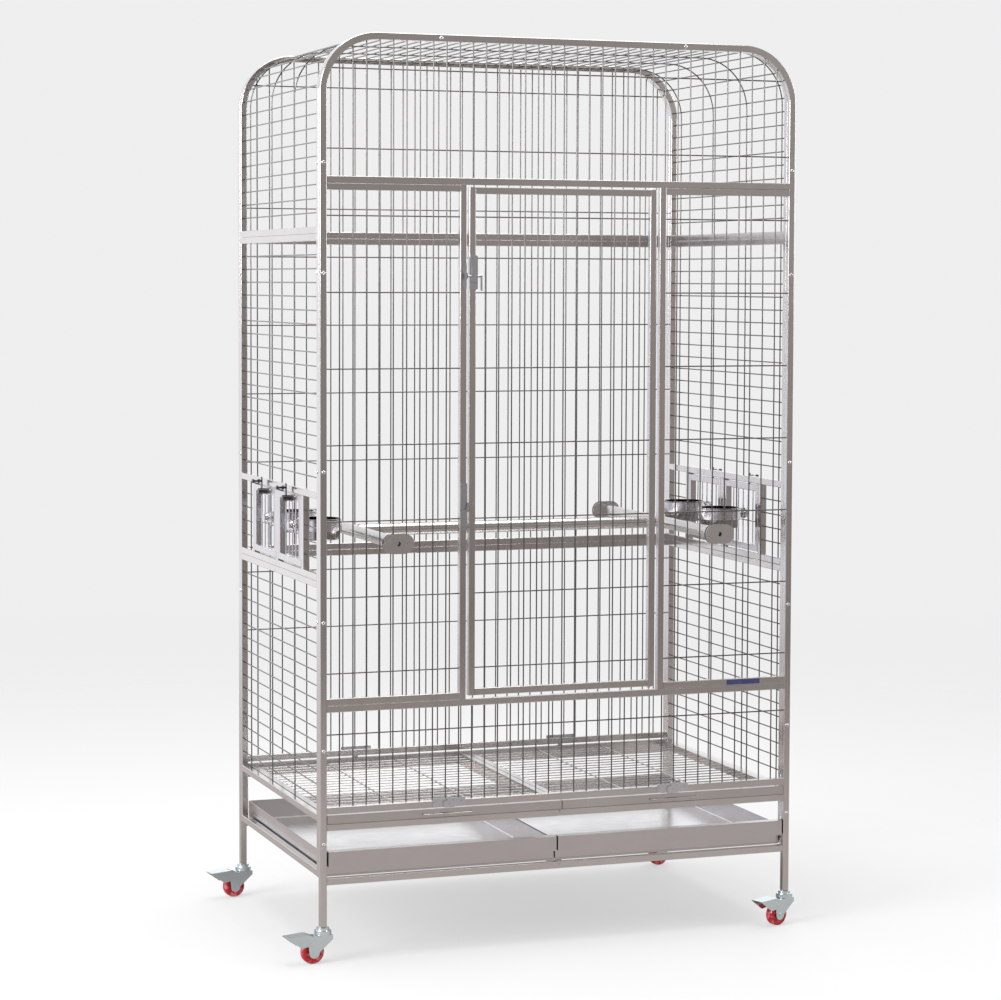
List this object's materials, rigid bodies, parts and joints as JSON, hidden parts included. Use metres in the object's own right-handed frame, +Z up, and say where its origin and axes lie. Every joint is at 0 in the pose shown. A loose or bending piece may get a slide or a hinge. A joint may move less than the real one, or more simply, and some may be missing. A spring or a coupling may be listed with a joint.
{
  "type": "kennel cage",
  "caption": "Tall rolling parrot cage of square steel tube and wire mesh, with a full-height door, tilt-out feeder doors, perches, floor grates and slide-out trays",
  "frame": {"origin": "on the floor, midway between the four corner posts", "axes": "+Z up; -Y towards the front with the door; +X to the right as seen from the front"},
  "size_m": [1.3211, 0.803, 2.15],
  "materials": {
    "frame_tube": "brushed stainless square tube",
    "wire": "bright drawn stainless wire",
    "perch": "brushed round tube",
    "clamp_plate": "polished plate",
    "screw": "polished screw heads and pins",
    "latch_metal": "satin latch plates and bolts",
    "latch_dark": "dark turned latch parts",
    "name_plate": "blank plate with dark blue enamel",
    "tray_sheet": "folded stainless sheet",
    "grate": "welded stainless bars",
    "feeder_steel": "brushed stainless door and ring",
    "bowl": "polished stainless bowl",
    "caster_zinc": "blue zinc-plated pressed steel",
    "caster_wheel": "clear red polyurethane"
  },
  "bodies": {
    "frame": {"front_arch_hoop": "frame_tube", "back_arch_hoop": "frame_tube", "roof_hoops": "frame_tube", "top_rails": "frame_tube", "front_fixed_frames": "frame_tube", "front_lower_frame": "frame_tube", "back_frame": "frame_tube", "left_frame": "frame_tube", "right_frame": "frame_tube", "front_mesh": "wire", "back_mesh": "wire", "left_mesh": "wire", "right_mesh": "wire", "roof_long_wires": "wire", "roof_hoop_wires": "wire", "perch_tubes": "perch", "perch_clamps": "clamp_plate", "frame_screws": "screw", "caster_stems": "caster_zinc", "centre_rails": "frame_tube", "latch_plates": "latch_metal", "hinge_pins": "screw", "name_plate": "name_plate"},
    "door": {"door_frame": "frame_tube", "door_mesh": "wire", "door_latch_body": "latch_metal"},
    "door_bolt": {"door_latch_bolt": "latch_metal"},
    "lower_hook": {"lower_latch_hook": "latch_metal"},
    "left_tray": {"left_tray": "tray_sheet"},
    "right_tray": {"right_tray": "tray_sheet"},
    "left_grate": {"left_grate": "grate"},
    "right_grate": {"right_grate": "grate"},
    "feeder_left_back": {"feeder_door_left_back": "feeder_steel"},
    "latch_left_back": {"feeder_latch_left_back": "latch_dark"},
    "bowl_left_back": {"bowl_left_back": "bowl"},
    "feeder_left_front": {"feeder_door_left_front": "feeder_steel"},
    "latch_left_front": {"feeder_latch_left_front": "latch_dark"},
    "bowl_left_front": {"bowl_left_front": "bowl"},
    "feeder_right_back": {"feeder_door_right_back": "feeder_steel"},
    "latch_right_back": {"feeder_latch_right_back": "latch_dark"},
    "bowl_right_back": {"bowl_right_back": "bowl"},
    "feeder_right_front": {"feeder_door_right_front": "feeder_steel"},
    "latch_right_front": {"feeder_latch_right_front": "latch_dark"},
    "bowl_right_front": {"bowl_right_front": "bowl"},
    "lock_front_left": {"grate_lock_front_left": "latch_metal"},
    "lock_front_right": {"grate_lock_front_right": "latch_metal"},
    "lock_back_left": {"grate_lock_back_left": "latch_metal"},
    "lock_back_right": {"grate_lock_back_right": "latch_metal"},
    "swivel_front_left": {"caster_fork_front_left": "caster_zinc"},
    "wheel_front_left": {"caster_wheel_front_left": "caster_wheel"},
    "pedal_front_left": {"brake_pedal_front_left": "caster_zinc"},
    "swivel_back_left": {"caster_fork_back_left": "caster_zinc"},
    "wheel_back_left": {"caster_wheel_back_left": "caster_wheel"},
    "pedal_back_left": {"brake_pedal_back_left": "caster_zinc"},
    "swivel_front_right": {"caster_fork_front_right": "caster_zinc"},
    "wheel_front_right": {"caster_wheel_front_right": "caster_wheel"},
    "pedal_front_right": {"brake_pedal_front_right": "caster_zinc"},
    "swivel_back_right": {"caster_fork_back_right": "caster_zinc"},
    "wheel_back_right": {"caster_wheel_back_right": "caster_wheel"},
    "pedal_back_right": {"brake_pedal_back_right": "caster_zinc"}
  },
  "joints": [
    {"name": "door_hinge", "type": "hinge", "parent": "frame", "child": "door", "pos_m": [0.2245, -0.367, 0.6], "axis": [0, 0, 1], "range_deg": [0, 110]},
    {"name": "door_bolt_slide", "type": "slide", "parent": "door", "child": "door_bolt", "axis": [-1, 0, 0], "range_m": [0, 0.004]},
    {"name": "lower_hook_turn", "type": "hinge", "parent": "door", "child": "lower_hook", "pos_m": [-0.231, -0.38, 1.061], "axis": [0, 1, 0], "range_deg": [0, 100]},
    {"name": "left_tray_slide", "type": "slide", "parent": "frame", "child": "left_tray", "axis": [0, -1, 0], "range_m": [0, 0.6]},
    {"name": "left_grate_slide", "type": "slide", "parent": "frame", "child": "left_grate", "axis": [0, -1, 0], "range_m": [0, 0.6]},
    {"name": "right_tray_slide", "type": "slide", "parent": "frame", "child": "right_tray", "axis": [0, -1, 0], "range_m": [0, 0.6]},
    {"name": "right_grate_slide", "type": "slide", "parent": "frame", "child": "right_grate", "axis": [0, -1, 0], "range_m": [0, 0.6]},
    {"name": "feeder_tilt_left_back", "type": "hinge", "parent": "frame", "child": "feeder_left_back", "pos_m": [-0.592, 0.114, 0.9146], "axis": [0, -1, 0], "range_deg": [0, 90]},
    {"name": "latch_turn_left_back", "type": "hinge", "parent": "feeder_left_back", "child": "latch_left_back", "pos_m": [-0.61, 0.114, 1.0628], "axis": [1, 0, 0], "range_deg": [0, 90]},
    {"name": "bowl_lift_left_back", "type": "slide", "parent": "feeder_left_back", "child": "bowl_left_back", "axis": [0, 0, 1], "range_m": [0, 0.08]},
    {"name": "feeder_tilt_left_front", "type": "hinge", "parent": "frame", "child": "feeder_left_front", "pos_m": [-0.592, -0.11, 0.9146], "axis": [0, -1, 0], "range_deg": [0, 90]},
    {"name": "latch_turn_left_front", "type": "hinge", "parent": "feeder_left_front", "child": "latch_left_front", "pos_m": [-0.61, -0.11, 1.0628], "axis": [1, 0, 0], "range_deg": [0, 90]},
    {"name": "bowl_lift_left_front", "type": "slide", "parent": "feeder_left_front", "child": "bowl_left_front", "axis": [0, 0, 1], "range_m": [0, 0.08]},
    {"name": "feeder_tilt_right_back", "type": "hinge", "parent": "frame", "child": "feeder_right_back", "pos_m": [0.592, 0.114, 0.9146], "axis": [0, 1, 0], "range_deg": [0, 90]},
    {"name": "latch_turn_right_back", "type": "hinge", "parent": "feeder_right_back", "child": "latch_right_back", "pos_m": [0.61, 0.114, 1.0628], "axis": [1, 0, 0], "range_deg": [0, 90]},
    {"name": "bowl_lift_right_back", "type": "slide", "parent": "feeder_right_back", "child": "bowl_right_back", "axis": [0, 0, 1], "range_m": [0, 0.08]},
    {"name": "feeder_tilt_right_front", "type": "hinge", "parent": "frame", "child": "feeder_right_front", "pos_m": [0.592, -0.11, 0.9146], "axis": [0, 1, 0], "range_deg": [0, 90]},
    {"name": "latch_turn_right_front", "type": "hinge", "parent": "feeder_right_front", "child": "latch_right_front", "pos_m": [0.61, -0.11, 1.0628], "axis": [1, 0, 0], "range_deg": [0, 90]},
    {"name": "bowl_lift_right_front", "type": "slide", "parent": "feeder_right_front", "child": "bowl_right_front", "axis": [0, 0, 1], "range_m": [0, 0.08]},
    {"name": "lock_turn_front_left", "type": "hinge", "parent": "frame", "child": "lock_front_left", "pos_m": [-0.286, -0.3795, 0.3545], "axis": [0, 1, 0], "range_deg": [0, 90]},
    {"name": "lock_turn_front_right", "type": "hinge", "parent": "frame", "child": "lock_front_right", "pos_m": [0.286, -0.3795, 0.3545], "axis": [0, 1, 0], "range_deg": [0, 90]},
    {"name": "lock_turn_back_left", "type": "hinge", "parent": "frame", "child": "lock_back_left", "pos_m": [-0.286, 0.3795, 0.3545], "axis": [0, 1, 0], "range_deg": [0, 90]},
    {"name": "lock_turn_back_right", "type": "hinge", "parent": "frame", "child": "lock_back_right", "pos_m": [0.286, 0.3795, 0.3545], "axis": [0, 1, 0], "range_deg": [0, 90]},
    {"name": "swivel_front_left", "type": "hinge", "parent": "frame", "child": "swivel_front_left", "pos_m": [-0.592, -0.367, 0.065], "axis": [0, 0, 1], "continuous": true},
    {"name": "wheel_spin_front_left", "type": "hinge", "parent": "swivel_front_left", "child": "wheel_front_left", "pos_m": [-0.61874, -0.37076, 0.027], "axis": [-0.1392, 0.9903, 0], "continuous": true},
    {"name": "pedal_press_front_left", "type": "hinge", "parent": "swivel_front_left", "child": "pedal_front_left", "pos_m": [-0.62864, -0.37215, 0.051], "axis": [0.1392, -0.9903, 0], "range_deg": [0, 12]},
    {"name": "swivel_back_left", "type": "hinge", "parent": "frame", "child": "swivel_back_left", "pos_m": [-0.592, 0.367, 0.065], "axis": [0, 0, 1], "continuous": true},
    {"name": "wheel_spin_back_left", "type": "hinge", "parent": "swivel_back_left", "child": "wheel_back_left", "pos_m": [-0.61859, 0.36231, 0.027], "axis": [-0.1736, 0.9848, 0], "continuous": true},
    {"name": "pedal_press_back_left", "type": "hinge", "parent": "swivel_back_left", "child": "pedal_back_left", "pos_m": [-0.62844, 0.36057, 0.051], "axis": [0.1736, -0.9848, 0], "range_deg": [0, 12]},
    {"name": "swivel_front_right", "type": "hinge", "parent": "frame", "child": "swivel_front_right", "pos_m": [0.592, -0.367, 0.065], "axis": [0, 0, 1], "continuous": true},
    {"name": "wheel_spin_front_right", "type": "hinge", "parent": "swivel_front_right", "child": "wheel_front_right", "pos_m": [0.56663, -0.37623, 0.027], "axis": [-0.342, 0.9397, 0], "continuous": true},
    {"name": "pedal_press_front_right", "type": "hinge", "parent": "swivel_front_right", "child": "pedal_front_right", "pos_m": [0.55723, -0.37966, 0.051], "axis": [0.342, -0.9397, 0], "range_deg": [0, 12]},
    {"name": "swivel_back_right", "type": "hinge", "parent": "frame", "child": "swivel_back_right", "pos_m": [0.592, 0.367, 0.065], "axis": [0, 0, 1], "continuous": true},
    {"name": "wheel_spin_back_right", "type": "hinge", "parent": "swivel_back_right", "child": "wheel_back_right", "pos_m": [0.56559, 0.36139, 0.027], "axis": [-0.2079, 0.9781, 0], "continuous": true},
    {"name": "pedal_press_back_right", "type": "hinge", "parent": "swivel_back_right", "child": "pedal_back_right", "pos_m": [0.55581, 0.35931, 0.051], "axis": [0.2079, -0.9781, 0], "range_deg": [0, 12]}
  ]
}
